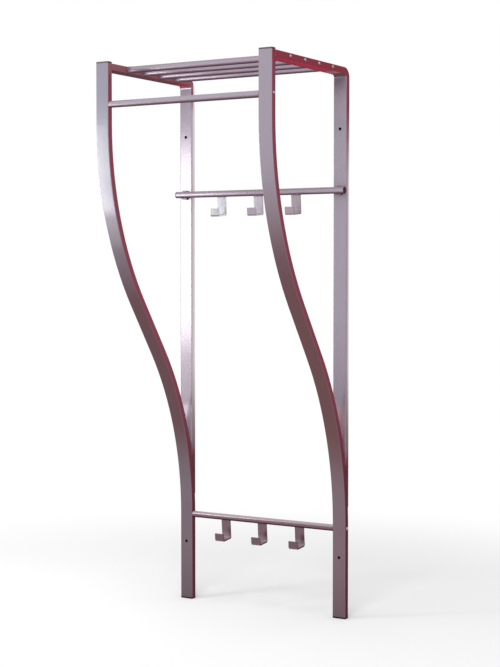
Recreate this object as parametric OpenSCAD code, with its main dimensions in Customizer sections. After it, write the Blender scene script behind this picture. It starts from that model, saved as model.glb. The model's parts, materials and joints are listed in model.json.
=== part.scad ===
/* [Overall] */
// Width across both side frames
rack_w = 475; // [420:5:600]
// Height from the foot caps to the top caps
rack_h = 1330; // [1240:5:1450]
// Depth from the wall to the front face of the uprights
rack_d = 372; // [340:1:420]

/* [Frame tube] */
// Width of the flat side of the frame tube
tube_w = 35; // [30:1:45]
// Thickness of the frame tube
tube_t = 16; // [15:0.5:20]
// Wall of the frame tube
tube_wall = 1.5; // [1.2:0.1:2.5]
// Radius of the four long edges of the frame tube
tube_edge_r = 2; // [1.8:0.1:4]
// Radius of the rear top corner, at the middle of the tube
corner_r = 16; // [12:1:40]

/* [Curved upright] */
// Straight length at the top of the front upright
top_straight = 144; // [130:1:180]
// Straight length at the foot of the front upright
foot_straight = 218; // [190:1:240]
// Straight length between the two bends of the front upright
mid_straight = 150; // [60:1:260]

/* [Shelf and garment rail] */
// Outer diameter of every round rod and rail
rod_d = 16; // [14:0.5:18]
// Wall of the round rods
rod_wall = 1.5; // [1:0.1:2]
// Distance from the front upright to the middle of the first shelf rod
rod_front_margin = 66; // [40:1:90]
// Distance from the rear corner bend to the middle of the last shelf rod
rod_back_margin = 63.5; // [20:0.5:80]
// Height of the frame top above the garment rail
garment_drop = 96; // [60:1:112]

/* [Hook rails] */
// Height of the frame top above the upper hook rail
upper_rail_drop = 291.5; // [230:0.5:380]
// Height of the end of the lower bend above the lower hook rail
lower_rail_drop = 3; // [3:1:30]
// Overhang of the upper hook rail past the side frames
rail_overhang = 1; // [0.5:0.5:12]
// Height of the spacers behind the upper hook rail
spacer_h = 4; // [2:0.5:12]
// Diameter of the spacers
spacer_d = 23; // [22:1:29]
// Depth of the saddle in each spacer
saddle_h = 3; // [1:0.5:5]

/* [Hooks] */
// Distance between neighbouring hooks
hook_pitch = 106; // [60:1:125]
// Width of the flat hook strip
hook_w = 25; // [16:1:32]
// Thickness of the hook strip
hook_t = 4; // [3:0.5:5]
// Depth of the hook strip below the middle of its rail
hook_drop = 55; // [45:1:70]
// Reach of the hook from the back of its strip to the front of its lip
hook_reach = 38.5; // [28:0.5:55]
// Height of the hook lip
hook_lip_h = 20; // [15:1:28]
// Inner radius of the hook bends
hook_bend_r = 1; // [0.5:0.5:6]
// Lean of the hooks, their lower ends towards the wall
hook_lean = 5; // [0:0.5:5]

/* [Wall fixing] */
// Distance of each wall hole from the nearest end of the frame
wall_hole_inset = 145; // [100:1:185]
// Diameter of the wall holes
wall_hole_d = 7.5; // [5:0.5:10]

/* [Caps] */
// Thickness of the visible part of a tube cap
cap_t = 4; // [2.5:0.5:6]
// Length of the plug part inside the tube
plug_len = 14; // [8:1:25]
// Wall of the plug part
plug_wall = 1.6; // [1.2:0.1:2.5]
// Thickness of the visible part of a rail cap
rail_cap_t = 4; // [3:0.5:7]

/* [Screws] */
// Diameter of the screws that hold the rods and rails
screw_d = 5; // [4:0.5:6]
// Diameter of the screw heads
screw_head_d = 9.5; // [8:0.5:12]
// Height of the screw heads
screw_head_h = 2.8; // [2:0.1:4]
// Width of the hexagon socket across its corners
socket_d = 3.6; // [2.5:0.1:4]
// Length of the threaded insert in each rod end
insert_len = 22; // [14:1:32]
// Length of the threaded insert in the upper hook rail
nut_len = 14; // [10:1:17]

/* [Fits] */
// Gap between pieces that are pushed or screwed together
fit_gap = 0.1; // [0.05:0.01:0.15]
// Extra diameter of a clearance hole over its screw
hole_play = 0.4; // [0.2:0.1:1]
// Gap that the welds bridge
weld_gap = 0.2; // [0.1:0.1:0.4]
// Radius of the weld beads on the frames
weld_r = 2; // [1:0.1:3]
// Radius of the weld beads on the hooks
hook_weld_r = 1.4; // [0.8:0.1:2]

/* [Hidden] */

SMALL_FN = 48;
BEND_FN = 720;
CUT = 1;                                  // how far a cutting solid runs past a face
REACH_IN = 2;                             // how far the middle run reaches into its two bends
SLIM = 0.01;                              // how much slimmer it is, so that no faces graze there
SEAT = 0.02;                              // how far a weld bead stops short of a curved face
MIN_EDGE_R = 0.3;                         // least radius of a rounded edge inside the tube
CAP_RIM = 1;                              // straight part of the rim of a tube cap
RAIL_CAP_DOME = 2.5;                      // rise of the dome of a rail cap
STEM_GAP = 2.5;                           // space between the stem of a rail cap and the insert
HEAD_RIM = 0.4;                           // straight part of the rim of a screw head
HEAD_PLAY = 1.5;                          // extra diameter of the way in for a bolt head
INSERT_FLOOR = 2;                         // closed end of a threaded insert
TIP_GAP = 2;                              // space left in front of a screw's tip
LEFT = -1;
RIGHT = 1;

silver = [0.66, 0.62, 0.67];
pale_silver = [0.74, 0.71, 0.74];
plum_black = [0.20, 0.14, 0.17];
zinc = [0.80, 0.78, 0.79];

// Levels of the frame. The origin is on the wall, in the middle of the four wall holes
tube_bottom = cap_t - rack_h / 2;
tube_top = rack_h / 2 - cap_t;
bar_z = tube_top - tube_t / 2;
tube_x = (rack_w - tube_w) / 2;           // middle of each side frame
inner_x = rack_w / 2 - tube_w;            // inner face of each side frame

// Middle line of the curved upright, in the Y and Z of the side plane
front_y = -rack_d + tube_t / 2;
wall_y = -tube_t / 2;
bend_top_z = tube_top - top_straight;
bend_foot_z = tube_bottom + foot_straight;
sweep_y = wall_y - front_y;
sweep_z = bend_top_z - bend_foot_z;
bend_r = (sweep_y * sweep_y + sweep_z * sweep_z - mid_straight * mid_straight) / (4 * sweep_y);
across = sweep_y - 2 * bend_r;
span = across * across + sweep_z * sweep_z;
bend_angle = atan2(across * mid_straight + 2 * bend_r * sweep_z,
                   sweep_z * mid_straight - 2 * bend_r * across);
upper_centre = [front_y + bend_r, bend_top_z];
lower_centre = [wall_y - bend_r, bend_foot_z];

// Lower end of the back upright, cut to the back of the curved upright
cut_r = bend_r + tube_t / 2 + weld_gap;
cut_y = -tube_wall - lower_centre[0];
back_tip_z = bend_foot_z + sqrt(cut_r * cut_r - cut_y * cut_y);
joint_y = -tube_t - lower_centre[0];
joint_z = bend_foot_z + sqrt(cut_r * cut_r - joint_y * joint_y);

// Rods, rails and screws
corner_y = wall_y - corner_r;             // where the top bar starts to bend down
bar_front_y = -rack_d + tube_t + weld_gap;
first_rod_y = -rack_d + tube_t + rod_front_margin;
last_rod_y = corner_y - rod_back_margin;
rod_gaps = 3;
rod_pitch = (last_rod_y - first_rod_y) / rod_gaps;
rod_len = 2 * (inner_x - fit_gap);
garment_z = tube_top - garment_drop;
upper_rail_z = tube_top - upper_rail_drop;
lower_rail_z = bend_foot_z - lower_rail_drop;
upper_rail_y = -tube_t - spacer_h - rod_d / 2;
lower_rail_y = wall_y;
upper_rail_len = rack_w + 2 * rail_overhang;
rod_bore = rod_d - 2 * rod_wall;
insert_d = rod_bore - 2 * fit_gap;
screw_hole_d = screw_d + hole_play;
thread_d = screw_d + 2 * fit_gap;         // bore of the inserts
access_hole_d = screw_head_d + HEAD_PLAY;
upper_hole_z = tube_top - wall_hole_inset;
lower_hole_z = tube_bottom + wall_hole_inset;
screw_reach = tube_w + insert_len - INSERT_FLOOR - TIP_GAP;
bolt_reach = tube_wall + spacer_h + rod_d / 2 + screw_d;
function rod_y(i) = first_rod_y + i * rod_pitch;

// Y of the back of the curved upright, in its lower bend at the height z
function curve_back_y(z) = lower_centre[0]
    + sqrt(pow(bend_r + tube_t / 2 + SEAT, 2) - pow(z - bend_foot_z, 2));

// Places the side plane at one side frame: its x is Y, its y is Z, its z is X
module side_plane(x) {
    translate([x, 0, 0]) rotate([90, 0, 90]) children();
}

// Rectangle with rounded corners, centred
module round_rect(w, h, r) {
    square([w - 2 * r, h], center = true);
    square([w, h - 2 * r], center = true);
    for (x = [-1, 1], y = [-1, 1])
        translate([x * (w / 2 - r), y * (h / 2 - r)]) circle(r, $fn = SMALL_FN);
}

// Cross-section of the frame tube, thickness along x
module tube_outline(inset) {
    round_rect(tube_t - 2 * inset, tube_w - 2 * inset, max(tube_edge_r - inset, MIN_EDGE_R));
}

// One straight run of the tube in the side plane, along +y
module run(len, inset, past_start = 0, past_end = 0) {
    translate([0, -past_start, 0]) rotate([-90, 0, 0])
        linear_extrude(len + past_start + past_end) tube_outline(inset);
}

// One bend of the tube in the side plane, from +x round by the angle
module bend(radius, angle, inset) {
    rotate_extrude(angle = angle, $fn = BEND_FN) translate([radius, 0]) tube_outline(inset);
}

// The whole curved upright as one solid bar
module curved_bar(inset, past = 0) {
    translate([front_y, bend_top_z]) run(top_straight, inset, 0, past);
    translate(upper_centre) rotate([0, 0, 180]) bend(bend_r, bend_angle, inset);
    translate(lower_centre) {
        bend(bend_r, bend_angle, inset);
        rotate([0, 0, bend_angle]) translate([bend_r, 0])
            run(mid_straight, inset + SLIM, REACH_IN, REACH_IN);
    }
    translate([wall_y, tube_bottom]) run(foot_straight, inset, past, 0);
}

// The back upright and the top bar as one solid bar
module bent_bar(inset, past = 0) {
    translate([wall_y, back_tip_z])
        run(bar_z - corner_r - back_tip_z, inset, past, 0);
    translate([corner_y, bar_z - corner_r]) bend(corner_r, 90, inset);
    translate([corner_y, bar_z]) rotate([0, 0, 90])
        run(corner_y - bar_front_y, inset, 0, past);
}

// A hole across the tube, from one side face to the other
module side_hole(y, z) {
    translate([y, z]) cylinder(d = screw_hole_d, h = tube_w + 2 * CUT, center = true, $fn = SMALL_FN);
}

// A hole through the tube from front to back, at one height
module wall_hole(z) {
    translate([CUT, z]) rotate([0, -90, 0])
        cylinder(d = wall_hole_d, h = tube_t + 2 * CUT, $fn = SMALL_FN);
}

// Front hole for the bolt of the upper hook rail, and the way in for its head
module rail_bolt_holes() {
    translate([-tube_t - CUT, upper_rail_z]) rotate([0, 90, 0])
        cylinder(d = screw_hole_d, h = tube_wall + 2 * CUT, $fn = SMALL_FN);
    translate([-tube_wall - CUT, upper_rail_z]) rotate([0, 90, 0])
        cylinder(d = access_hole_d, h = tube_wall + 2 * CUT, $fn = SMALL_FN);
}

module back_frame(side) {
    color(silver) side_plane(side * tube_x) difference() {
        bent_bar(0);
        bent_bar(tube_wall, CUT);
        translate(lower_centre) cylinder(r = cut_r, h = tube_w + 2 * CUT, center = true, $fn = BEND_FN);
        for (i = [0:rod_gaps]) side_hole(rod_y(i), bar_z);
        wall_hole(upper_hole_z);
        rail_bolt_holes();
    }
}

module front_upright(side) {
    color(silver) side_plane(side * tube_x) difference() {
        curved_bar(0);
        curved_bar(tube_wall, CUT);
        side_hole(front_y, garment_z);
        side_hole(lower_rail_y, lower_rail_z);
        wall_hole(lower_hole_z);
    }
}

// Weld beads across the flat of the tube: one under the end of the top bar, and one
// in the narrow corner where the back upright meets the curved upright
module frame_welds(side) {
    bead_len = tube_w - 2 * tube_edge_r;
    color(silver) side_plane(side * tube_x) {
        translate([bar_front_y - weld_gap, tube_top - tube_t, -bead_len / 2]) intersection() {
            cylinder(r = weld_r + weld_gap, h = bead_len, $fn = SMALL_FN);
            translate([0, -2 * weld_r, 0]) cube([2 * weld_r, 2 * weld_r, bead_len]);
        }
        linear_extrude(bead_len, center = true) polygon([
            [-tube_t, joint_z],
            [-tube_t, joint_z + 4 * weld_r],
            [curve_back_y(joint_z + 4 * weld_r), joint_z + 4 * weld_r],
            [curve_back_y(joint_z), joint_z]
        ]);
    }
}

// Visible part of a tube cap, flat side down, with a soft outer edge
module cap_head() {
    edge = min(tube_edge_r, cap_t - CAP_RIM);
    intersection() {
        linear_extrude(cap_t) round_rect(tube_w, tube_t, tube_edge_r);
        rotate([90, 0, 0]) linear_extrude(tube_t, center = true) {
            translate([0, (cap_t - edge) / 2]) square([tube_w, cap_t - edge], center = true);
            translate([0, cap_t / 2]) square([tube_w - 2 * edge, cap_t], center = true);
            for (x = [-1, 1]) translate([x * (tube_w / 2 - edge), cap_t - edge])
                circle(edge, $fn = SMALL_FN);
        }
        rotate([90, 0, 90]) linear_extrude(tube_w, center = true) {
            translate([0, (cap_t - edge) / 2]) square([tube_t, cap_t - edge], center = true);
            translate([0, cap_t / 2]) square([tube_t - 2 * edge, cap_t], center = true);
            for (x = [-1, 1]) translate([x * (tube_t / 2 - edge), cap_t - edge])
                circle(edge, $fn = SMALL_FN);
        }
    }
}

// Tube cap with its hollow plug, the plug pointing down
module tube_cap() {
    plug = tube_wall + fit_gap;
    bore = plug + plug_wall;
    color(plum_black) {
        cap_head();
        translate([0, 0, -plug_len]) linear_extrude(plug_len) difference() {
            round_rect(tube_w - 2 * plug, tube_t - 2 * plug, max(tube_edge_r - plug, MIN_EDGE_R));
            square([tube_w - 2 * bore, tube_t - 2 * bore], center = true);
        }
    }
}

module top_cap(side) {
    translate([side * tube_x, front_y, tube_top]) tube_cap();
}

module foot_cap(side) {
    translate([side * tube_x, wall_y, tube_bottom]) rotate([180, 0, 0]) tube_cap();
}

// Round tube along X, centred on x = 0
module rail_tube(len, y, z) {
    translate([0, y, z]) rotate([0, 90, 0]) difference() {
        cylinder(d = rod_d, h = len, center = true, $fn = SMALL_FN);
        cylinder(d = rod_bore, h = len + 2 * CUT, center = true, $fn = SMALL_FN);
    }
}

module shelf_rod(i) {
    color(silver) rail_tube(rod_len, rod_y(i), bar_z);
}

module garment_rail() {
    color(silver) rail_tube(rod_len, front_y, garment_z);
}

module lower_hook_rail() {
    color(silver) rail_tube(rod_len, lower_rail_y, lower_rail_z);
}

module upper_hook_rail() {
    color(silver) difference() {
        rail_tube(upper_rail_len, upper_rail_y, upper_rail_z);
        for (side = [LEFT, RIGHT]) translate([side * tube_x, upper_rail_y, upper_rail_z])
            rotate([-90, 0, 0]) cylinder(d = screw_hole_d, h = rod_d, $fn = SMALL_FN);
    }
}

// Domed cap with a plug that sits in one end of the upper hook rail
module rail_cap(side) {
    dome_r = (rod_d * rod_d / 4 + RAIL_CAP_DOME * RAIL_CAP_DOME) / (2 * RAIL_CAP_DOME);
    stem = (upper_rail_len - nut_len) / 2 - tube_x - STEM_GAP;
    color(plum_black) translate([side * upper_rail_len / 2, upper_rail_y, upper_rail_z])
        rotate([0, side * 90, 0]) {
            intersection() {
                cylinder(d = rod_d, h = rail_cap_t, $fn = SMALL_FN);
                translate([0, 0, rail_cap_t - dome_r]) sphere(dome_r, $fn = 2 * SMALL_FN);
            }
            translate([0, 0, -stem]) cylinder(d = insert_d, h = stem, $fn = SMALL_FN);
        }
}

// Round spacer with a saddle, between the back upright and the upper hook rail
module spacer(side) {
    color(silver) difference() {
        translate([side * tube_x, -tube_t, upper_rail_z]) rotate([90, 0, 0]) difference() {
            cylinder(d = spacer_d, h = spacer_h + saddle_h, $fn = SMALL_FN);
            translate([0, 0, -CUT])
                cylinder(d = screw_hole_d, h = spacer_h + saddle_h + 2 * CUT, $fn = SMALL_FN);
        }
        translate([side * tube_x, upper_rail_y, upper_rail_z]) rotate([0, 90, 0])
            cylinder(d = rod_d + 2 * fit_gap, h = spacer_d + 2 * CUT, center = true, $fn = SMALL_FN);
    }
}

// Quarter ring of the strip's thickness, from +x round to +y
module strip_bend() {
    intersection() {
        difference() {
            circle(hook_bend_r + hook_t, $fn = SMALL_FN);
            circle(hook_bend_r, $fn = SMALL_FN);
        }
        square(hook_bend_r + hook_t);
    }
}

// Side outline of one hook, with the middle of its rail at the origin
module hook_outline() {
    back_y = hook_t / 2;
    lip_y = back_y - hook_reach;
    bend = hook_bend_r + hook_t;
    translate([back_y - hook_t, bend - hook_drop]) square([hook_t, hook_drop - bend]);
    translate([back_y - bend, bend - hook_drop]) rotate(-90) strip_bend();
    translate([lip_y + bend, -hook_drop]) square([hook_reach - 2 * bend, hook_t]);
    translate([lip_y + bend, bend - hook_drop]) rotate(180) strip_bend();
    translate([lip_y, bend - hook_drop]) square([hook_t, hook_lip_h - bend]);
}

module hook(x, y, z) {
    color(pale_silver) translate([0, y, z]) side_plane(x) rotate(hook_lean) difference() {
        linear_extrude(hook_w, center = true) hook_outline();
        cylinder(r = rod_d / 2 + fit_gap, h = hook_w + 2 * CUT, center = true, $fn = SMALL_FN);
    }
}

// Weld beads in front of and behind the top of each strip of one rail
module hook_welds(y, z) {
    bead_y = (hook_t + hook_weld_r) / 2;
    bead_z = -sqrt(pow(rod_d / 2 + hook_weld_r / 3, 2) - bead_y * bead_y);
    color(silver) translate([0, y, z])
        for (i = [-1:1], face = [-1, 1]) side_plane(i * hook_pitch) rotate(hook_lean) difference() {
            translate([face * bead_y, bead_z])
                cylinder(r = hook_weld_r, h = hook_w - hook_weld_r, center = true, $fn = SMALL_FN);
            cylinder(d = rod_d, h = hook_w, center = true, $fn = SMALL_FN);
            translate([-hook_t / 2, -hook_drop, -hook_w / 2]) cube([hook_t, hook_drop, hook_w]);
        }
}

// Threaded inserts in both ends of one rod
module end_inserts(y, z) {
    color(zinc) for (side = [LEFT, RIGHT])
        translate([side * (inner_x - fit_gap), y, z]) rotate([0, -side * 90, 0]) difference() {
            cylinder(d = insert_d, h = insert_len, $fn = SMALL_FN);
            translate([0, 0, -CUT])
                cylinder(d = thread_d, h = insert_len - INSERT_FLOOR + CUT, $fn = SMALL_FN);
        }
}

module shelf_rod_inserts() {
    for (i = [0:rod_gaps]) end_inserts(rod_y(i), bar_z);
}

module upper_rail_inserts() {
    color(zinc) for (side = [LEFT, RIGHT])
        translate([side * tube_x, upper_rail_y, upper_rail_z]) difference() {
            rotate([0, 90, 0]) cylinder(d = insert_d, h = nut_len, center = true, $fn = SMALL_FN);
            rotate([90, 0, 0]) cylinder(d = thread_d, h = 2 * rod_d, center = true, $fn = SMALL_FN);
        }
}

// Button head screw, its shank along -z and the seat of its head at z = 0
module screw(len) {
    dome = screw_head_h - HEAD_RIM;
    dome_r = (screw_head_d * screw_head_d / 4 + dome * dome) / (2 * dome);
    color(zinc) difference() {
        union() {
            intersection() {
                cylinder(d = screw_head_d, h = screw_head_h, $fn = SMALL_FN);
                translate([0, 0, screw_head_h - dome_r]) sphere(dome_r, $fn = 2 * SMALL_FN);
            }
            translate([0, 0, -len]) cylinder(d = screw_d, h = len, $fn = SMALL_FN);
        }
        translate([0, 0, screw_head_h / 3]) cylinder(d = socket_d, h = screw_head_h, $fn = 6);
    }
}

// One screw from each side, through the frame tube into a rod end
module end_screws(y, z) {
    for (side = [LEFT, RIGHT])
        translate([side * rack_w / 2, y, z]) rotate([0, side * 90, 0]) screw(screw_reach);
}

module shelf_screws() {
    for (i = [0:rod_gaps]) end_screws(rod_y(i), bar_z);
}

// Bolts inside the back uprights that hold the upper hook rail
module upper_rail_bolts() {
    for (side = [LEFT, RIGHT])
        translate([side * tube_x, -tube_t + tube_wall, upper_rail_z]) rotate([-90, 0, 0])
            screw(bolt_reach);
}

back_frame(LEFT);  // left_back_frame
back_frame(RIGHT);  // right_back_frame
front_upright(LEFT);  // left_front_upright
front_upright(RIGHT);  // right_front_upright
frame_welds(LEFT);  // left_frame_welds
frame_welds(RIGHT);  // right_frame_welds
top_cap(LEFT);  // left_top_cap
top_cap(RIGHT);  // right_top_cap
foot_cap(LEFT);  // left_foot_cap
foot_cap(RIGHT);  // right_foot_cap
shelf_rod(0);  // shelf_rod_1
shelf_rod(1);  // shelf_rod_2
shelf_rod(2);  // shelf_rod_3
shelf_rod(3);  // shelf_rod_4
garment_rail();
upper_hook_rail();
lower_hook_rail();
rail_cap(LEFT);  // upper_rail_cap_left
rail_cap(RIGHT);  // upper_rail_cap_right
spacer(LEFT);  // upper_rail_spacer_left
spacer(RIGHT);  // upper_rail_spacer_right
hook(-hook_pitch, upper_rail_y, upper_rail_z);  // upper_hook_left
hook(0, upper_rail_y, upper_rail_z);  // upper_hook_middle
hook(hook_pitch, upper_rail_y, upper_rail_z);  // upper_hook_right
hook(-hook_pitch, lower_rail_y, lower_rail_z);  // lower_hook_left
hook(0, lower_rail_y, lower_rail_z);  // lower_hook_middle
hook(hook_pitch, lower_rail_y, lower_rail_z);  // lower_hook_right
hook_welds(upper_rail_y, upper_rail_z);  // upper_hook_welds
hook_welds(lower_rail_y, lower_rail_z);  // lower_hook_welds
shelf_rod_inserts();
end_inserts(front_y, garment_z);  // garment_rail_inserts
end_inserts(lower_rail_y, lower_rail_z);  // lower_rail_inserts
upper_rail_inserts();
shelf_screws();
end_screws(front_y, garment_z);  // garment_rail_screws
end_screws(lower_rail_y, lower_rail_z);  // lower_rail_screws
upper_rail_bolts();
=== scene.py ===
import bmesh
import bpy
import json
import math
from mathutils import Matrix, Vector


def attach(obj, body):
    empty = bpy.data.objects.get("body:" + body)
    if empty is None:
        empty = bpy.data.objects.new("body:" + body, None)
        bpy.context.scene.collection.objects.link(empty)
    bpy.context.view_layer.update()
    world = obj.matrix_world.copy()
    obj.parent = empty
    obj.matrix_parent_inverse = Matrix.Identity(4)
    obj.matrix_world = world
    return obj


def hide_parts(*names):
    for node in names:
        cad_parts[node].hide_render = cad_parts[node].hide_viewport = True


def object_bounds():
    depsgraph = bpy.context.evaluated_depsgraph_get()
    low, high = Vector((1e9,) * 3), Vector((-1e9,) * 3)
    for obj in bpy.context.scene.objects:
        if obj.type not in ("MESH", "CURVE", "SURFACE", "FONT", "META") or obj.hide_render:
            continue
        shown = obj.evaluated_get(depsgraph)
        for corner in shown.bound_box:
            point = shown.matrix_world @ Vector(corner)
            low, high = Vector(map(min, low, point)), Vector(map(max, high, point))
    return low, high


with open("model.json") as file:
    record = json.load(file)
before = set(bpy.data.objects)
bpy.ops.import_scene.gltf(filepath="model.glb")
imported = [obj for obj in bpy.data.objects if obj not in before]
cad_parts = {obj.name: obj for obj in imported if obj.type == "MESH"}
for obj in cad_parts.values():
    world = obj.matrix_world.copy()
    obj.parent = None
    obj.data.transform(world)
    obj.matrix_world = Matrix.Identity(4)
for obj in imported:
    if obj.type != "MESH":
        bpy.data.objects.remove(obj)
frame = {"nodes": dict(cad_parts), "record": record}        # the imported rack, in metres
cadLow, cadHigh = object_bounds()
cadNodes = frame["nodes"]
print("rack loaded:", len(cadNodes), "nodes")

# right of the rack, a little above its middle
camera = {"place": (1.8606, -3.1947, 0.1790), "turn": 30.746, "tilt": -2.442,
          "focalPixels": 1487.0, "imageLongSide": 667, "sensor": 36.0, "clipEnd": 60}


def addCamera():
    data = bpy.data.cameras.new("rackCamera")
    data.sensor_width = camera["sensor"]
    data.lens = camera["sensor"] * camera["focalPixels"] / camera["imageLongSide"]
    data.clip_end = camera["clipEnd"]
    obj = bpy.data.objects.new("rackCamera", data)
    obj.location = camera["place"]
    obj.rotation_euler = (math.radians(90 + camera["tilt"]), 0, math.radians(camera["turn"]))
    bpy.context.scene.collection.objects.link(obj)
    bpy.context.scene.camera = obj


addCamera()
bpy.context.scene.view_settings.view_transform = "Standard"
print("camera placed")


# helpers for node trees: a value is a number, a colour or another node's socket
def addNode(tree, kind, **settings):
    node = tree.nodes.new(kind)
    for name, value in settings.items():
        setattr(node, name, value)
    return node


def feed(tree, socket, value):
    if isinstance(value, bpy.types.NodeSocket):
        tree.links.new(value, socket)
    else:
        socket.default_value = value


def doMath(tree, operation, first, second=0.0):
    node = addNode(tree, "ShaderNodeMath", operation=operation)
    feed(tree, node.inputs[0], first)
    feed(tree, node.inputs[1], second)
    return node.outputs[0]


def without(tree, value, mask):
    return doMath(tree, "MULTIPLY", value, doMath(tree, "SUBTRACT", 1.0, mask))


def mixColours(tree, factor, first, second, blend="MIX"):
    node = addNode(tree, "ShaderNodeMix", data_type="RGBA", blend_type=blend)
    feed(tree, node.inputs["Factor"], factor)
    feed(tree, node.inputs[6], first)        # sockets 6 and 7 are the two colours
    feed(tree, node.inputs[7], second)
    return node.outputs[2]


def mapValue(tree, value, low, high, toLow=0.0, toHigh=1.0, smooth=True):
    node = addNode(tree, "ShaderNodeMapRange")
    node.interpolation_type = "SMOOTHSTEP" if smooth else "LINEAR"
    for socket, setting in zip(node.inputs, (value, low, high, toLow, toHigh)):
        feed(tree, socket, setting)
    return node.outputs["Result"]


def between(tree, mask, ends, smooth=True):        # from the first end to the second, as the mask grows
    return mapValue(tree, mask, 0.0, 1.0, ends[0], ends[1], smooth)


def readCoords(tree, kind):        # X, Y and Z of "Object", the place, or "Normal", the way it faces
    coords = addNode(tree, "ShaderNodeTexCoord")
    split = addNode(tree, "ShaderNodeSeparateXYZ")
    feed(tree, split.inputs[0], coords.outputs[kind])
    return split.outputs


def newGroup(name, inputs):
    group = bpy.data.node_groups.new(name, "ShaderNodeTree")
    for label, value in inputs.items():
        socket = group.interface.new_socket(label, in_out="INPUT", socket_type="NodeSocketFloat")
        socket.default_value = value
    return group, addNode(group, "NodeGroupInput").outputs


def endGroup(group, masks):
    for label in masks:
        group.interface.new_socket(label, in_out="OUTPUT", socket_type="NodeSocketFloat")
    end = addNode(group, "NodeGroupOutput")
    for label, mask in masks.items():
        feed(group, end.inputs[label], mask)
    return group


def useGroup(tree, group, **values):
    node = addNode(tree, "ShaderNodeGroup", node_tree=group)
    for label, value in values.items():
        feed(tree, node.inputs[label.replace("_", " ")], value)
    return node.outputs


def shade(red, green, blue):        # from a colour on screen, 0 to 255, to a linear one
    def toLinear(level):
        level /= 255
        return level / 12.92 if level <= 0.04045 else ((level + 0.055) / 1.055) ** 2.4

    return (toLinear(red), toLinear(green), toLinear(blue), 1.0)


# floor and light
studio = {"floorRadius": 9.0, "floorSides": 96, "floorShade": (0.96, 0.96, 0.96, 1.0), "fadeFrom": 0.5,
          "fadeTo": 1.6, "fillStrength": 0.55, "backdropStrength": 1.0}
lamps = {
    "keyLamp": {"place": (1.2, -3.3, 2.5), "aim": (0.0, -0.2, 0.1), "size": (1.8, 1.8), "power": 60},
    "topLamp": {"place": (0.2, -0.9, 2.9), "aim": (0.0, -0.2, 0.3), "size": (1.6, 1.6), "power": 30},
    # two small panels on the left, whose gloss lies on the front of the left back upright
    "leftPanel": {"place": (-0.93, -1.0, 0.26), "aim": (-0.93, 0.0, 0.26), "size": (0.41, 0.66),
                  "power": 6.8},
    "lowPanel": {"place": (-0.93, -1.0, -0.27), "aim": (-0.93, 0.0, -0.27), "size": (0.40, 0.34),
                 "power": 0.7},
}


def seenRays(tree):
    rays = addNode(tree, "ShaderNodeLightPath")
    some = doMath(tree, "ADD", rays.outputs["Is Camera Ray"], rays.outputs["Is Glossy Ray"])
    return doMath(tree, "MINIMUM", doMath(tree, "ADD", some, rays.outputs["Is Transmission Ray"]), 1.0)


def addFloor():
    bpy.ops.object.select_all(action="DESELECT")
    bpy.ops.mesh.primitive_circle_add(vertices=studio["floorSides"], radius=studio["floorRadius"],
                                      fill_type="NGON", location=(0, 0, cadLow.z))
    floor = bpy.context.object
    floor.name = "studioFloor"
    material = bpy.data.materials.new("studioFloorPaint")
    material.use_nodes = True
    tree = material.node_tree
    tree.nodes.clear()
    place = addNode(tree, "ShaderNodeTexCoord")
    reach = addNode(tree, "ShaderNodeVectorMath", operation="LENGTH")
    feed(tree, reach.inputs[0], place.outputs["Object"])
    fade = mapValue(tree, reach.outputs["Value"], studio["fadeFrom"], studio["fadeTo"])
    plain = addNode(tree, "ShaderNodeBsdfDiffuse")
    plain.inputs["Color"].default_value = studio["floorShade"]
    white = addNode(tree, "ShaderNodeEmission")
    white.inputs["Strength"].default_value = studio["backdropStrength"]
    mixed = addNode(tree, "ShaderNodeMixShader")
    feed(tree, mixed.inputs["Fac"], doMath(tree, "MULTIPLY", fade, seenRays(tree)))
    feed(tree, mixed.inputs[1], plain.outputs[0])
    feed(tree, mixed.inputs[2], white.outputs[0])
    out = addNode(tree, "ShaderNodeOutputMaterial")
    feed(tree, out.inputs["Surface"], mixed.outputs[0])
    floor.data.materials.append(material)


def addLamp(name, place, aim, size, power):
    data = bpy.data.lights.new(name, "AREA")
    data.shape = "RECTANGLE"
    data.size, data.size_y = size
    data.energy = power
    obj = bpy.data.objects.new(name, data)
    obj.location = place
    obj.rotation_euler = (Vector(aim) - Vector(place)).to_track_quat("-Z", "Y").to_euler()
    obj.visible_camera = False
    bpy.context.scene.collection.objects.link(obj)


def addWorld():
    world = bpy.data.worlds.new("studioWorld")
    world.use_nodes = True
    tree = world.node_tree
    tree.nodes.clear()
    sky = addNode(tree, "ShaderNodeBackground")
    sky.inputs["Color"].default_value = (1, 1, 1, 1)
    feed(tree, sky.inputs["Strength"],
         between(tree, seenRays(tree), (studio["fillStrength"], studio["backdropStrength"]), smooth=False))
    out = addNode(tree, "ShaderNodeOutputWorld")
    feed(tree, out.inputs["Surface"], sky.outputs[0])
    bpy.context.scene.world = world


addFloor()
addWorld()
for lampName, lamp in lamps.items():
    addLamp(lampName, **lamp)
print("floor and lamps ready")

# where the masks of surfaceTurn begin and end: the first four as parts of the normal, the others in
# metres from the middle of the rack
turnBands = {"side": (0.35, 0.9), "under": (0.7, 0.95), "crown": (0.1, 0.7), "edge": (0.3, 0.95),
             "middle": (-0.05, 0.05), "outer": (0.206, 0.228), "leftEnd": (-0.2, -0.184)}


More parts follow.
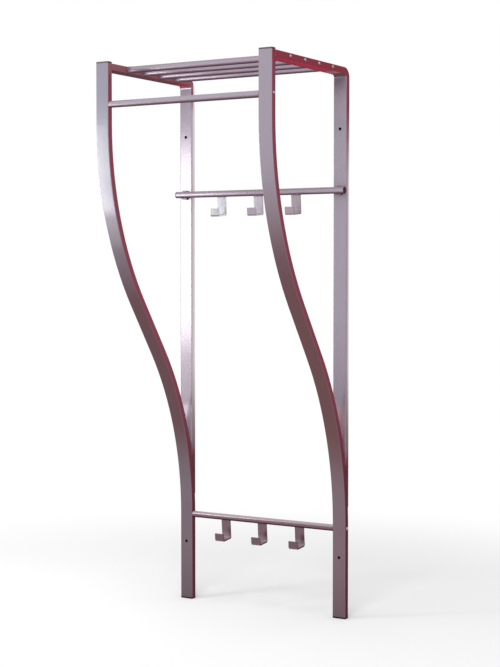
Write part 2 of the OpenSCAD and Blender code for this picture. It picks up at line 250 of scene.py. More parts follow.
# effects that several finishes share
def makeTurnGroup():
    # the way a face looks: sideways, sloping down, straight down, up, or to the middle of the rack;
    # whether it lies in the left half, at a shelf rod's left end or towards the outside of a side tube;
    # and the rounded edges, first the upright ones, then the upper ones
    group, start = newGroup("surfaceTurn", {"Slope Start": 0.08, "Slope End": 0.44})
    facing = readCoords(group, "Normal")
    spot = readCoords(group, "Object")
    across = doMath(group, "ABSOLUTE", facing["X"])
    below = doMath(group, "MULTIPLY", facing["Z"], -1.0)
    ahead = doMath(group, "MAXIMUM", doMath(group, "MULTIPLY", facing["Y"], -1.0), 0.0)
    edge = doMath(group, "MULTIPLY", doMath(group, "MULTIPLY", across, ahead), 2.0)
    ridge = doMath(group, "MULTIPLY", doMath(group, "MULTIPLY", across, facing["Z"]), 2.0)
    outwards = doMath(group, "MULTIPLY", spot["X"], facing["X"])
    return endGroup(group, {
        "Side": mapValue(group, across, *turnBands["side"]),
        "Slope": mapValue(group, below, start["Slope Start"], start["Slope End"]),
        "Under": mapValue(group, below, *turnBands["under"]),
        "Crown": mapValue(group, facing["Z"], *turnBands["crown"]),
        "Inner": mapValue(group, outwards, *turnBands["middle"], 1.0, 0.0),
        "Left": mapValue(group, spot["X"], *turnBands["middle"], 1.0, 0.0),
        "Left End": mapValue(group, spot["X"], *turnBands["leftEnd"], 1.0, 0.0),
        "Outer": mapValue(group, doMath(group, "ABSOLUTE", spot["X"]), *turnBands["outer"]),
        "Edge": mapValue(group, edge, *turnBands["edge"]),
        "Ridge": mapValue(group, ridge, *turnBands["edge"])})


def makeLevelGroup():
    # 0 at the low level, 1 at the high one
    group, start = newGroup("levelOnRack", {"Low": -0.6, "High": 0.6})
    spot = readCoords(group, "Object")
    return endGroup(group, {"Level": mapValue(group, spot["Z"], start["Low"], start["High"])})


def makeStretchGroup():
    # 1 behind the back depth and between the low and high levels, fading out to the front, foot and top
    group, start = newGroup("stretchOnRack", {"Front": -2.0, "Back": -1.0, "Foot": -2.0, "Low": -1.0,
                                              "High": 1.0, "Top": 2.0})
    spot = readCoords(group, "Object")
    behind = mapValue(group, spot["Y"], start["Front"], start["Back"])
    above = mapValue(group, spot["Z"], start["Foot"], start["Low"])
    below = mapValue(group, spot["Z"], start["High"], start["Top"], 1.0, 0.0)
    share = doMath(group, "MULTIPLY", behind, doMath(group, "MULTIPLY", above, below))
    return endGroup(group, {"Share": share})


def makePaintGroup():
    # metal flake in the paint and the faint orange peel of its surface
    group, start = newGroup("metalPaint", {"Flake Scale": 1400.0, "Flake Depth": 0.1, "Peel Scale": 320.0,
                                           "Cloud Scale": 9.0, "Cloud Depth": 0.05})
    place = addNode(group, "ShaderNodeTexCoord")

    def noise(scale, detail):
        node = addNode(group, "ShaderNodeTexNoise")
        feed(group, node.inputs["Vector"], place.outputs["Object"])
        feed(group, node.inputs["Scale"], scale)
        node.inputs["Detail"].default_value = detail
        return node.outputs["Fac"]

    def around(value, depth):        # noise lies around a half
        return doMath(group, "MULTIPLY", doMath(group, "SUBTRACT", value, 0.5), depth)

    fine = around(noise(start["Flake Scale"], detail=2.0), start["Flake Depth"])
    broad = around(noise(start["Cloud Scale"], detail=3.0), start["Cloud Depth"])
    return endGroup(group, {"Flake": doMath(group, "ADD", doMath(group, "ADD", fine, broad), 1.0),
                            "Peel": noise(start["Peel Scale"], detail=1.0)})


# wiped and touched places, longer than they are wide
wiped = {"stretch": (1.0, 1.0, 0.35), "detail": 4.0, "band": (0.42, 0.7)}


def makeHandlingGroup():
    # what the wiped places add to the roughness
    group, start = newGroup("handling", {"Scale": 24.0, "Depth": 0.12})
    place = addNode(group, "ShaderNodeTexCoord")
    stretch = addNode(group, "ShaderNodeMapping")
    feed(group, stretch.inputs["Vector"], place.outputs["Object"])
    stretch.inputs["Scale"].default_value = wiped["stretch"]
    noise = addNode(group, "ShaderNodeTexNoise")
    feed(group, noise.inputs["Vector"], stretch.outputs[0])
    feed(group, noise.inputs["Scale"], start["Scale"])
    noise.inputs["Detail"].default_value = wiped["detail"]
    spots = mapValue(group, noise.outputs["Fac"], *wiped["band"])
    return endGroup(group, {"Roughness": doMath(group, "MULTIPLY", spots, start["Depth"])})


def makeHoleGroup():
    # 1 inside the tubes behind the wall holes, where painted shade makes the holes look dark
    group, start = newGroup("wallHoles", {"Middle": 0.22, "Half Width": 0.0165, "Height": 0.516,
                                          "Half Height": 0.012, "Depth": -0.008, "Half Depth": 0.0072})
    spot = readCoords(group, "Object")

    def within(value, middle, half):
        off = doMath(group, "ABSOLUTE", doMath(group, "SUBTRACT", value, middle))
        return doMath(group, "LESS_THAN", off, half)

    across = within(doMath(group, "ABSOLUTE", spot["X"]), start["Middle"], start["Half Width"])
    upright = within(doMath(group, "ABSOLUTE", spot["Z"]), start["Height"], start["Half Height"])
    deep = within(spot["Y"], start["Depth"], start["Half Depth"])
    hole = doMath(group, "MULTIPLY", doMath(group, "MULTIPLY", across, upright), deep)
    return endGroup(group, {"Hole": hole})


turnGroup = makeTurnGroup()
levelGroup = makeLevelGroup()
stretchGroup = makeStretchGroup()
paintGroup = makePaintGroup()
handlingGroup = makeHandlingGroup()
holeGroup = makeHoleGroup()


def levelMask(tree, levels):
    return useGroup(tree, levelGroup, Low=levels[0], High=levels[1])["Level"]


def stretchMask(tree, **limits):
    return useGroup(tree, stretchGroup, **limits)["Share"]


def toned(tree, level, paint, face):        # a face's two tones, low and high on the rack
    return mixColours(tree, level, paint["low" + face], paint["top" + face])


def newMaterial(name):
    material = bpy.data.materials.new(name)
    material.use_nodes = True
    tree = material.node_tree
    tree.nodes.clear()
    shader = addNode(tree, "ShaderNodeBsdfPrincipled")
    out = addNode(tree, "ShaderNodeOutputMaterial")
    feed(tree, out.inputs["Surface"], shader.outputs[0])
    return material, tree, shader


def addFlake(tree, colour, skin):
    flake = addNode(tree, "ShaderNodeCombineColor")
    for socket in flake.inputs:
        feed(tree, socket, skin["Flake"])
    return mixColours(tree, 1.0, colour, flake.outputs[0], "MULTIPLY")


def finishSurface(tree, shader, colour, skin, roughness, relief, **wear):
    feed(tree, shader.inputs["Base Color"], colour)
    dull = useGroup(tree, handlingGroup, **wear)["Roughness"]
    feed(tree, shader.inputs["Roughness"], doMath(tree, "ADD", dull, roughness))
    bump = addNode(tree, "ShaderNodeBump")
    bump.inputs["Distance"].default_value = relief
    feed(tree, bump.inputs["Height"], skin["Peel"])
    feed(tree, shader.inputs["Normal"], bump.outputs[0])


# clear coat over the paint, which gives most of the gloss, and the fine skin below it
clearCoat = {"Coat Roughness": 0.17, "Coat IOR": 1.7, "Specular IOR Level": 0.0,
             "Specular Tint": shade(150, 110, 125)}
paintSkin = {"relief": 0.000008, "wear": 0.02}


def startPaint(name, paint):
    material, tree, shader = newMaterial(name)
    for label, value in clearCoat.items():
        shader.inputs[label].default_value = value
    height = levelMask(tree, paint["level"])
    turn = useGroup(tree, turnGroup, Slope_Start=paint["slopeStart"],
                    Slope_End=between(tree, height, paint["slopeEnd"], smooth=False))
    return material, tree, shader, height, turn


def endPaint(tree, shader, paint, height, turn, colour, hole=None, bare=None):
    # undersides and holes have neither metal nor coat, and sides, steep slopes and bare places no coat
    skin = useGroup(tree, paintGroup)
    colour = addFlake(tree, colour, skin)
    lit = doMath(tree, "SUBTRACT", 1.0, turn["Under"])
    if hole is not None:
        # painted shade inside the tubes behind the wall holes
        colour = mixColours(tree, hole, colour, paint["hole"])
        lit = without(tree, lit, hole)
    coatStart = between(tree, height, paint["coatStart"], smooth=False)
    coatEnd = between(tree, height, paint["coatEnd"], smooth=False)
    steep = useGroup(tree, turnGroup, Slope_Start=coatStart, Slope_End=coatEnd)["Slope"]
    coated = without(tree, without(tree, lit, turn["Side"]), steep)
    if bare is not None:
        coated = without(tree, coated, bare)
    feed(tree, shader.inputs["Metallic"], doMath(tree, "MULTIPLY", lit, paint["metallic"]))
    if paint["coat"]:
        feed(tree, shader.inputs["Coat Weight"], doMath(tree, "MULTIPLY", coated, paint["coat"]))
    finishSurface(tree, shader, colour, skin, paint["roughness"], paintSkin["relief"],
                  Depth=paintSkin["wear"])


def addEdgeHighlights(tree, paint, turn, colour):
    # painted highlight along the upright rounded edges
    share = doMath(tree, "MULTIPLY", turn["Edge"], paint["edgeHighlightShare"])
    return mixColours(tree, share, colour, paint["edge"])


# depths and levels on the side frames: the back uprights, their rear halves, and above the joint
wallTube = {"Front": -0.024, "Back": -0.018}
wallFace = {"Front": -0.0095, "Back": -0.0065}
aboveJoint = {"Foot": -0.295, "Low": -0.25}

# silver paint with painted shade, plum lower down, and painted reflection, burgundy on the sides and
# undersides
framePaint = {
    # fronts: painted shade lower down and just below the bends, painted reflection at the joint, darker at
    # the feet
    "level": (-0.45, 0.3), "topFront": shade(147, 136, 150), "lowFront": shade(103, 76, 87),
    "footLevel": (-0.72, -0.48), "foot": shade(86, 56, 67),
    "backLevel": (-0.62, 0.15), "onBack": dict(wallTube, Foot=-0.295, Low=-0.26),
    "bend": shade(116, 80, 96), "nearBend": dict(wallTube, Foot=0.5, Low=0.64), "bendShare": (0.25, 0.06),
    "joint": shade(165, 136, 147), "leftJoint": shade(182, 168, 180),
    "nearJoint": dict(wallTube, Foot=-0.275, Low=-0.25, High=-0.175), "jointTop": (-0.13, -0.155),
    # slopes, plum as painted shade and reflection, cooler on the left front upright, whose front gets a less
    # red tint and a painted highlight, all painted light
    "topSlope": shade(107, 80, 87), "lowSlope": shade(107, 76, 79), "leftSlope": shade(122, 101, 109),
    "slopeLevel": (0.09, 0.21), "leftTint": shade(233, 245, 249), "leftHighlight": shade(151, 149, 157),
    "nearHighlight": {"Foot": 0.36, "Low": 0.43, "High": 0.44, "Top": 0.6},
    # sides, burgundy as painted reflection, with those of the top bars and of the back uprights
    "topSide": shade(140, 74, 88), "lowSide": shade(98, 52, 60), "sideLevel": (-0.46, 0.0),
    # the top bars' inner sides are duller, painted shade and reflection
    "barSide": shade(144, 67, 78), "barInner": shade(148, 94, 102), "barLevel": (0.625, 0.645),
    "wallSide": shade(176, 158, 167), "wallInner": shade(206, 198, 203),
    # the back uprights' sides in their own silver, lighter on the left one and near white on their rear
    # halves as painted reflection, and darker towards the joint as painted shade
    "wallSideFoot": shade(136, 114, 122), "wallSideLevel": (-0.27, -0.02),
    "wallSideHigh": (0.36, 0.56), "wallSideTop": (0.58, 0.63),
    "wallSideBack": shade(238, 230, 235), "innerBack": dict(wallFace, Foot=0.4, Low=0.5),
    # undersides, crimson as painted reflection, with those of the left top bar, darker, and of the right
    # one's end at the wall, duller, both painted reflection
    "under": shade(172, 57, 80), "underInner": shade(150, 57, 74),
    "underLeft": shade(98, 64, 72), "nearWall": dict(aboveJoint, Front=-0.07, Back=-0.04),
    "underWall": shade(164, 106, 120), "nearUpright": dict(aboveJoint, Front=-0.09, Back=-0.062),
    "underBend": shade(118, 77, 84), "inBend": dict(aboveJoint, Front=-0.05, Back=-0.038),
    # painted shade on the upper rounded edges, painted highlights on the upright ones, painted shade in the
    # wall holes, and gloss
    "ridge": shade(104, 44, 54), "edge": shade(150, 120, 134), "edgeHighlightShare": 0.3, "hole": shade(30, 18, 24),
    "slopeStart": 0.08, "slopeEnd": (0.3, 0.44), "coatStart": (0.06, 0.24), "coatEnd": (0.3, 0.52),
    "metallic": 0.2, "coat": 1.0, "roughness": 0.26}


def frameFront(tree, paint, height, turn, onBack):
    # painted shade lower down and just below the bends, and a paler, redder painted reflection at the joint
    colour = toned(tree, height, paint, "Front")
    backFront = toned(tree, levelMask(tree, paint["backLevel"]), paint, "Front")
    colour = mixColours(tree, onBack, colour, backFront)
    bendShare = between(tree, turn["Left"], paint["bendShare"])
    nearBend = doMath(tree, "MULTIPLY", stretchMask(tree, **paint["nearBend"]), bendShare)
    colour = mixColours(tree, nearBend, colour, paint["bend"])
    joint = mixColours(tree, turn["Left"], paint["joint"], paint["leftJoint"])
    jointTop = between(tree, turn["Left"], paint["jointTop"])
    colour = mixColours(tree, stretchMask(tree, **paint["nearJoint"], Top=jointTop), colour, joint)
    return mixColours(tree, levelMask(tree, paint["footLevel"]), paint["foot"], colour)


def frameSlope(tree, paint, turn):
    # painted shade and reflection on the slopes, cooler on the left
    slope = mixColours(tree, turn["Left"], paint["topSlope"], paint["leftSlope"])
    return mixColours(tree, levelMask(tree, paint["slopeLevel"]), paint["lowSlope"], slope)


def frameSide(tree, paint, turn):
    inner = turn["Inner"]
    # painted reflection on the sides, with painted shade towards the joint of the uprights
    side = toned(tree, levelMask(tree, paint["sideLevel"]), paint, "Side")
    bar = mixColours(tree, inner, paint["barSide"], paint["barInner"])
    side = mixColours(tree, levelMask(tree, paint["barLevel"]), side, bar)
    wallSide = mixColours(tree, inner, paint["wallSide"], paint["wallInner"])
    wallSide = mixColours(tree, stretchMask(tree, **wallFace), wallSide, paint["wallSideBack"])
    wallSide = mixColours(tree, levelMask(tree, paint["wallSideLevel"]), paint["wallSideFoot"], wallSide)
    onUpright = stretchMask(tree, **wallTube, **aboveJoint, High=between(tree, inner, paint["wallSideHigh"]),
                            Top=between(tree, inner, paint["wallSideTop"]))
    side = mixColours(tree, onUpright, side, wallSide)
    innerBack = doMath(tree, "MULTIPLY", inner, stretchMask(tree, **paint["innerBack"]))
    return mixColours(tree, innerBack, side, paint["wallSideBack"])


def frameUnder(tree, paint, turn):
    # painted reflection on the undersides
    under = mixColours(tree, turn["Outer"], paint["underInner"], paint["under"])
    leftShare = without(tree, turn["Left"], stretchMask(tree, **paint["nearWall"]))
    under = mixColours(tree, leftShare, under, paint["underLeft"])
    end = mixColours(tree, stretchMask(tree, **paint["inBend"]), paint["underWall"], paint["underBend"])
    rightShare = without(tree, stretchMask(tree, **paint["nearUpright"]), turn["Left"])
    return mixColours(tree, rightShare, under, end)


def makeFramePaint(name, paint):
    material, tree, shader, height, turn = startPaint(name, paint)
    onBack = stretchMask(tree, **paint["onBack"])
    colour = frameFront(tree, paint, height, turn, onBack)
    colour = mixColours(tree, turn["Slope"], colour, frameSlope(tree, paint, turn))
    # painted light on the left front upright: a less red tint and a painted highlight
    leftFront = without(tree, turn["Left"], onBack)
    colour = mixColours(tree, leftFront, colour, paint["leftTint"], "MULTIPLY")
    highlightShare = doMath(tree, "MULTIPLY", leftFront, stretchMask(tree, **paint["nearHighlight"]))
    colour = mixColours(tree, highlightShare, colour, paint["leftHighlight"])
    colour = mixColours(tree, turn["Side"], colour, frameSide(tree, paint, turn))
    colour = mixColours(tree, turn["Under"], colour, frameUnder(tree, paint, turn))
    # painted shade along the upper rounded edges
    colour = mixColours(tree, turn["Ridge"], colour, paint["ridge"])
    colour = addEdgeHighlights(tree, paint, turn, colour)
    endPaint(tree, shader, paint, height, turn, colour, hole=useGroup(tree, holeGroup)["Hole"])
    return material


# the same paint on the rods and rails, with painted light: darker low on the rack, painted shade and
# reflection below, and crowns darker up high and paler low down; the spacers get painted shade, as they lie
# in the shade of their rail, and the shelf rods painted shade and no coat at their left ends
rodPaint = {"level": (-0.45, 0.3), "topFront": shade(158, 144, 158), "lowFront": shade(102, 72, 82),
            "topSlope": shade(104, 80, 93), "lowSlope": shade(74, 42, 52),
            "topUnder": shade(92, 60, 77), "lowUnder": shade(70, 24, 36),
            "topCrown": shade(134, 121, 132), "lowCrown": shade(166, 148, 158),
            "slopeStart": 0.25, "slopeEnd": (0.75, 0.75), "coatStart": (0.15, 0.45), "coatEnd": (0.6, 0.8),
            "metallic": 0.2, "coat": 0.8, "roughness": 0.26}
# painted shade on the spacers, which lie in the shade of their rail
shadedSpacerPaint = dict(rodPaint, topFront=shade(138, 120, 134), topSlope=shade(88, 60, 74),
                   topUnder=shade(78, 46, 60), topCrown=shade(152, 140, 152), coat=0.0)
shelfPaint = dict(rodPaint, leftEnd=shade(120, 94, 105))
# the garment rail's own painted light: a paler crown and a wider band of painted shade below
garmentPaint = dict(rodPaint, topCrown=shade(144, 135, 148), topSlope=shade(100, 77, 88),
                    topUnder=shade(92, 68, 76), slopeStart=0.18, slopeEnd=(0.66, 0.66))


def makeRodPaint(name, paint):
    material, tree, shader, height, turn = startPaint(name, paint)
    colour = toned(tree, height, paint, "Front")
    # painted shade and reflection on slopes, and painted light on the crowns
    colour = mixColours(tree, turn["Slope"], colour, toned(tree, height, paint, "Slope"))
    colour = mixColours(tree, turn["Crown"], colour, toned(tree, height, paint, "Crown"))
    leftEnd = None
    # painted shade at the shelf rods' left ends, next to the top bar
    if "leftEnd" in paint:
        leftEnd = turn["Left End"]
        colour = mixColours(tree, leftEnd, colour, paint["leftEnd"])
    # painted shade and reflection on the undersides
    colour = mixColours(tree, turn["Under"], colour, toned(tree, height, paint, "Under"))
    endPaint(tree, shader, paint, height, turn, colour, bare=leftEnd)
    return material


# and on the hooks, darker low on the rack as painted shade, with painted light on their stems, which lie
# further back than their lips, and a painted highlight at their feet
hookStem = {"Front": -0.0355, "Back": -0.0315}
hookPaint = {"level": (-0.5, 0.36), "topFront": shade(155, 137, 148), "lowFront": shade(84, 50, 60),
             "topStem": shade(160, 144, 155), "lowStem": shade(96, 63, 74),
             "topGlow": shade(174, 156, 170), "lowGlow": shade(164, 145, 155),
             "topFoot": dict(hookStem, Foot=0.29, Low=0.3, High=0.318, Top=0.345),
             "lowFoot": dict(hookStem, Foot=-0.53, Low=-0.515, High=-0.503, Top=-0.479),
             "topSlope": shade(150, 134, 144), "lowSlope": shade(120, 96, 104),
             "topSide": shade(166, 148, 158), "lowSide": shade(98, 68, 78),
             "topUnder": shade(150, 134, 144), "lowUnder": shade(120, 98, 106),
             "edge": shade(170, 160, 168), "edgeHighlightShare": 0.3,
             "slopeStart": 0.08, "slopeEnd": (0.44, 0.44), "coatStart": (0.2, 0.2), "coatEnd": (0.5, 0.5),
             "metallic": 0.2, "coat": 1.0, "roughness": 0.28}
# lighter copies of the hook paint for the upper left and middle hooks, painted light where the left panel's
# gloss falls
leftHookPaint = dict(hookPaint, topFront=shade(140, 138, 146), topStem=shade(146, 144, 153),
                     topGlow=shade(162, 162, 168), topSide=shade(240, 237, 241), coat=0.85)
middleHookPaint = dict(hookPaint, topFront=shade(154, 145, 155), topStem=shade(177, 170, 182),
                       topGlow=shade(190, 184, 194), topSide=shade(200, 187, 198))


def makeHookPaint(name, paint):
    material, tree, shader, height, turn = startPaint(name, paint)
    onStem = stretchMask(tree, **hookStem)
    lowFoot = stretchMask(tree, **paint["lowFoot"])
    topFoot = stretchMask(tree, **paint["topFoot"])
    # painted light: tones by level and by face, lighter stems and a painted highlight at the feet
    colour = toned(tree, height, paint, "Front")
    colour = mixColours(tree, onStem, colour, toned(tree, height, paint, "Stem"))
    colour = mixColours(tree, doMath(tree, "ADD", lowFoot, topFoot), colour,
                        toned(tree, height, paint, "Glow"))
    for face in ("Slope", "Side", "Under"):
        colour = mixColours(tree, turn[face], colour, toned(tree, height, paint, face))
    colour = addEdgeHighlights(tree, paint, turn, colour)
    endPaint(tree, shader, paint, height, turn, colour)
    return material


# dark plastic of the caps, redder on the sides as painted reflection, paler on top of the front uprights as
# painted light and darkest at their feet as painted shade
capTones = {"capPlastic": {"front": shade(58, 30, 42), "side": shade(72, 24, 38)},
            "litTopCapPlastic": {"front": shade(100, 82, 94), "side": shade(72, 24, 38)},
            "shadedFootCapPlastic": {"front": shade(36, 14, 22), "side": shade(44, 12, 22)}}
capSkin = {"specular": 0.12, "roughness": 0.42, "relief": 0.00006}


def makePlastic(name):
    material, tree, shader = newMaterial(name)
    shader.inputs["Specular IOR Level"].default_value = capSkin["specular"]
    skin = useGroup(tree, paintGroup, Flake_Scale=900.0, Flake_Depth=0.5, Peel_Scale=900.0)
    side = useGroup(tree, turnGroup)["Side"]
    colour = addFlake(tree, mixColours(tree, side, capTones[name]["front"], capTones[name]["side"]), skin)
    finishSurface(tree, shader, colour, skin, capSkin["roughness"], capSkin["relief"])
    return material


# bare steel, with painted shade where it slopes down
steels = {"screwSteel": {"face": shade(196, 172, 180), "slope": shade(120, 66, 78), "roughness": 0.22},
          "insertSteel": {"face": shade(200, 196, 184), "slope": shade(170, 160, 150), "roughness": 0.35}}
steelRelief = 0.00003


def makeSteel(name):
    steel = steels[name]
    material, tree, shader = newMaterial(name)
    shader.inputs["Metallic"].default_value = 1.0
    skin = useGroup(tree, paintGroup, Flake_Scale=700.0, Flake_Depth=0.25, Peel_Scale=1800.0)
    # painted shade where the steel slopes down
    slope = useGroup(tree, turnGroup, Slope_Start=0.0, Slope_End=0.22)["Slope"]
    colour = addFlake(tree, mixColours(tree, slope, steel["face"], steel["slope"]), skin)
    finishSurface(tree, shader, colour, skin, steel["roughness"], steelRelief, Scale=300.0)
    return material


finishes = {
    "frame_silver": makeFramePaint("framePaint", framePaint),
    "rod_silver": makeRodPaint("rodPaint", rodPaint),
    "hook_silver": makeHookPaint("hookPaint", hookPaint),
    "cap_plastic": makePlastic("capPlastic"),
    "screw_steel": makeSteel("screwSteel"),
    "insert_steel": makeSteel("insertSteel"),
}

# nodes whose finish differs from that of their slot, first those with one of their own
ownFinishes = {"garment_rail": makeRodPaint("garmentPaint", garmentPaint),
               "upper_hook_left": makeHookPaint("leftHookPaint", leftHookPaint),
               "upper_hook_middle": makeHookPaint("middleHookPaint", middleHookPaint)}
sharedFinishes = [
    (makeRodPaint("shadedSpacerPaint", shadedSpacerPaint), ("upper_rail_spacer_left", "upper_rail_spacer_right")),
    (makeRodPaint("shelfPaint", shelfPaint), ("shelf_rod_1", "shelf_rod_2", "shelf_rod_3", "shelf_rod_4")),
    (makePlastic("litTopCapPlastic"), ("left_top_cap", "right_top_cap")),
    (makePlastic("shadedFootCapPlastic"), ("left_foot_cap", "right_foot_cap")),
]
for finish, nodes in sharedFinishes:
    ownFinishes.update(dict.fromkeys(nodes, finish))

slotOfNode = {part["node"]: part["material_slot"] for part in frame["record"]["subparts"]}
for nodeName, obj in cadNodes.items():
    for materialSlot in obj.material_slots:
        materialSlot.material = ownFinishes.get(nodeName, finishes[slotOfNode[nodeName]])
print("finishes applied")


# modelling: everything is deselected first, and faces are chosen by where they are or look
def startPiece(name, add, **settings):
    bpy.ops.object.select_all(action="DESELECT")
    add(**settings)
    piece = bpy.context.object
    piece.name = piece.data.name = name
    bpy.ops.object.transform_apply(location=True, rotation=True, scale=True)
    return piece


def pickOnly(*pieces):
    bpy.ops.object.select_all(action="DESELECT")
    for piece in pieces:
        piece.select_set(True)
    bpy.context.view_layer.objects.active = pieces[0]


def openPiece(piece, wanted):
    pickOnly(piece)
    bpy.ops.object.mode_set(mode="EDIT")
    bpy.ops.mesh.select_mode(type="FACE")
    bpy.ops.mesh.select_all(action="DESELECT")
    mesh = bmesh.from_edit_mesh(piece.data)
    for face in mesh.faces:
        face.select_set(wanted(face))
    bmesh.update_edit_mesh(piece.data)


def closePiece():
    bpy.ops.mesh.select_all(action="SELECT")
    bpy.ops.mesh.normals_make_consistent(inside=False)
    bpy.ops.object.mode_set(mode="OBJECT")


def looksUp(face):
    return face.normal.z > 0.9


def looksDown(face):
    return face.normal.z < -0.9


def pushFaces(x, y, z):
    bpy.ops.mesh.extrude_region_move(TRANSFORM_OT_translate={"value": (x, y, z)})


def addModifier(piece, kind, **settings):
    pickOnly(piece)
    modifier = piece.modifiers.new(kind.lower(), kind)
    for name, value in settings.items():
        setattr(modifier, name, value)
    bpy.ops.object.modifier_apply(modifier=modifier.name)


def smoothPiece(piece, degrees):
    pickOnly(piece)
    bpy.ops.object.shade_smooth_by_angle(angle=math.radians(degrees))


# angles, in degrees, from which an edge is rounded, and up to which it is shaded smooth
soft = {"bevelFrom": 40, "smoothTo": 35}


def softenEdges(piece, width, segments):
    addModifier(piece, "BEVEL", width=width, segments=segments, limit_method="ANGLE",
                angle_limit=math.radians(soft["bevelFrom"]))
    smoothPiece(piece, soft["smoothTo"])
    addModifier(piece, "WEIGHTED_NORMAL", weight=100, keep_sharp=True)


def copyPiece(model, name, place, turn=(0, 0, 0)):
    copy = model.copy()
    copy.data = model.data.copy()
    copy.name = copy.data.name = name
    bpy.context.scene.collection.objects.link(copy)
    copy.location = place
    copy.rotation_euler = [math.radians(degrees) for degrees in turn]
    pickOnly(copy)
    bpy.ops.object.transform_apply(location=True, rotation=True, scale=True)
    return copy


def joinPieces(name, pieces):
    pickOnly(*pieces)
    bpy.ops.object.join()
    pieces[0].name = pieces[0].data.name = name
    return pieces[0]


def dress(piece, slot, *nodes):
    piece.data.materials.clear()
    piece.data.materials.append(ownFinishes.get(nodes[0], finishes[slot]))
    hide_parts(*nodes)
    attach(piece, "root")


def dropModel(piece):
    bpy.data.objects.remove(piece, do_unlink=True)


# the middles of both hook rails
rails = {"upper": {"y": -0.028, "z": 0.3695}, "lower": {"y": -0.008, "z": -0.446}}
railRadius = 0.008

# flat strip bent twice, its lower end leaning towards the wall
hook = {"width": 0.025, "thickness": 0.004, "drop": 0.055, "reach": 0.0385, "lipHeight": 0.020,
        "innerBend": 0.001, "bendSteps": 6, "lean": 5.0, "pitch": 0.106,
        "rounding": 0.0006, "roundingSteps": 3}


def bendStrip(pivotY, pivotZ):
    for step in range(hook["bendSteps"]):
        bpy.ops.mesh.extrude_region_move()
        bpy.ops.transform.rotate(value=math.radians(90 / hook["bendSteps"]), orient_axis="X",
                                 center_override=(0, pivotY, pivotZ))


def makeHook():
    bend = hook["innerBend"] + hook["thickness"]
    backY = hook["thickness"] / 2
    lipY = backY - hook["reach"]
    bendZ = bend - hook["drop"]
    stem = -railRadius - bendZ
    model = startPiece("hookModel", bpy.ops.mesh.primitive_cube_add, size=1,
                       location=(0, 0, bendZ + stem / 2), scale=(hook["width"], hook["thickness"], stem))
    openPiece(model, looksDown)
    bendStrip(backY - bend, bendZ)
    pushFaces(0, 2 * bend - hook["reach"], 0)
    bendStrip(lipY + bend, bendZ)
    pushFaces(0, 0, hook["lipHeight"] - bend)
    closePiece()
    softenEdges(model, hook["rounding"], hook["roundingSteps"])
    return model


hookModel = makeHook()
for railName, rail in rails.items():
    for side, sideName in enumerate(("left", "middle", "right"), -1):
        piece = copyPiece(hookModel, railName + "Hook" + sideName.capitalize(),
                          (side * hook["pitch"], rail["y"], rail["z"]), (hook["lean"], 0, 0))
        dress(piece, "hook_silver", railName + "_hook_" + sideName)
dropModel(hookModel)
print("hooks modelled")

# rippled weld beads along X, a ripple to each drop of the weld; tip and waist are shares of the radius
bead = {"sides": 16, "ripple": 0.0011, "waist": 0.86, "tip": 0.55, "smoothTo": 60,
        "hookRadius": 0.0014, "frameRadius": 0.0022, "seamRadius": 0.0013}


def makeBead(length, radius):
    steps = 2 * round(length / bead["ripple"] / 2)
    step = length / steps
    tip = radius * bead["tip"]
    model = startPiece("beadModel", bpy.ops.mesh.primitive_circle_add, vertices=bead["sides"],
                       radius=tip, fill_type="NGON", location=(-length / 2, 0, 0),
                       rotation=(0, math.radians(90), 0))
    openPiece(model, lambda face: True)
    size = tip
    for index in range(1, steps + 1):
        wanted = radius if index % 2 else radius * bead["waist"]
        wanted = tip if index == steps else wanted
        pushFaces(step, 0, 0)
        bpy.ops.transform.resize(value=(1, wanted / size, wanted / size),
                                 center_override=(index * step - length / 2, 0, 0))
        size = wanted
    closePiece()
    addModifier(model, "SUBSURF", levels=1)
    smoothPiece(model, bead["smoothTo"])
    return model


def addHookWelds():
    model = makeBead(hook["width"] - bead["hookRadius"], bead["hookRadius"])
    offY = (hook["thickness"] + bead["hookRadius"]) / 2
    middle = railRadius + bead["hookRadius"] / 3        # a third of a bead outside the rail
    offZ = -math.sqrt(middle ** 2 - offY ** 2)
    lean = math.radians(hook["lean"])
    for railName, rail in rails.items():
        beads = []
        for side in (-1, 0, 1):
            for face in (-1, 1):
                y = face * offY * math.cos(lean) - offZ * math.sin(lean)
                z = face * offY * math.sin(lean) + offZ * math.cos(lean)
                beads.append(copyPiece(model, "bead", (side * hook["pitch"], rail["y"] + y, rail["z"] + z)))
        dress(joinPieces(railName + "HookWelds", beads), "hook_silver", railName + "_hook_welds")
    dropModel(model)


addHookWelds()

# tubes of the side frames, with Y and Z of the beads at their top bars and at their joints
tube = {"width": 0.035, "edge": 0.002, "middle": 0.220, "barFront": (-0.356, 0.645),
        "seam": (-0.0172, -0.2834)}


def addFrameWelds():
    length = tube["width"] - 2 * tube["edge"]
    barBead = makeBead(length, bead["frameRadius"])
    seamBead = makeBead(length, bead["seamRadius"])
    for side, sideName in ((-1, "left"), (1, "right")):
        beads = [copyPiece(barBead, "bead", (side * tube["middle"], *tube["barFront"])),
                 copyPiece(seamBead, "bead", (side * tube["middle"], *tube["seam"]))]
        dress(joinPieces(sideName + "FrameWelds", beads), "frame_silver", sideName + "_frame_welds")
    dropModel(barBead)
    dropModel(seamBead)


addFrameWelds()
print("weld beads modelled")

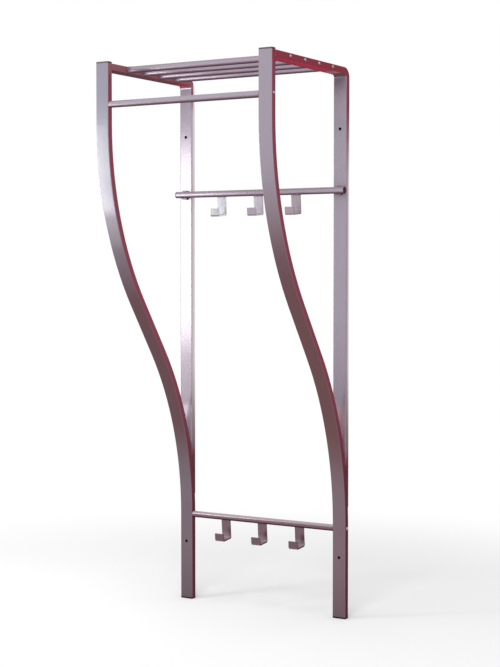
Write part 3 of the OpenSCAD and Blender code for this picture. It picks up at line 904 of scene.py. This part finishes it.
# button head screws, modelled with the head up and the seat at z = 0
screw = {"headRadius": 0.00475, "headHeight": 0.0028, "rim": 0.0004, "socket": 0.0018,
         "socketDepth": 0.0018, "shankRadius": 0.0025, "reach": 0.053, "sides": 48, "domeSteps": 8,
         "flat": 0.0021, "rounding": 0.00015, "roundingSteps": 2, "seat": 0.2375}

# Y and Z of the screws in each side frame
screwPlaces = {"shelf_screws": [(-0.290, 0.653), (-0.2225, 0.653), (-0.155, 0.653), (-0.0875, 0.653)],
               "garment_rail_screws": [(-0.364, 0.565)], "lower_rail_screws": [(-0.008, -0.446)]}


def makeScrew():
    dome = screw["headHeight"] - screw["rim"]
    sphere = (screw["headRadius"] ** 2 + dome ** 2) / (2 * dome)
    model = startPiece("screwModel", bpy.ops.mesh.primitive_cylinder_add, vertices=screw["sides"],
                       radius=screw["headRadius"], depth=screw["rim"], location=(0, 0, screw["rim"] / 2))
    openPiece(model, looksUp)
    size, level = screw["headRadius"], screw["rim"]
    for index in range(1, screw["domeSteps"] + 1):
        share = index / screw["domeSteps"]
        wanted = screw["headRadius"] + share * (screw["flat"] - screw["headRadius"])
        height = screw["headHeight"] - sphere + math.sqrt(sphere ** 2 - wanted ** 2)
        pushFaces(0, 0, height - level)
        bpy.ops.transform.resize(value=(wanted / size, wanted / size, 1), center_override=(0, 0, height))
        size, level = wanted, height
    closePiece()
    openPiece(model, looksDown)
    bpy.ops.mesh.inset(thickness=screw["headRadius"] - screw["shankRadius"])
    pushFaces(0, 0, -screw["reach"])
    closePiece()
    cutter = startPiece("socketCutter", bpy.ops.mesh.primitive_cylinder_add, vertices=6,        # a hexagon
                        radius=screw["socket"], depth=2 * screw["socketDepth"],
                        location=(0, 0, screw["headHeight"]))
    addModifier(model, "BOOLEAN", operation="DIFFERENCE", object=cutter)
    dropModel(cutter)
    softenEdges(model, screw["rounding"], screw["roundingSteps"])
    return model


def addScrews():
    model = makeScrew()
    for node, places in screwPlaces.items():
        copies = []
        for y, z in places:
            for side in (-1, 1):
                copies.append(copyPiece(model, "screw", (side * screw["seat"], y, z), (0, side * 90, 0)))
        words = node.split("_")
        name = words[0] + "".join(word.capitalize() for word in words[1:])
        dress(joinPieces(name, copies), "screw_steel", node)
    dropModel(model)


addScrews()
print("screws modelled")
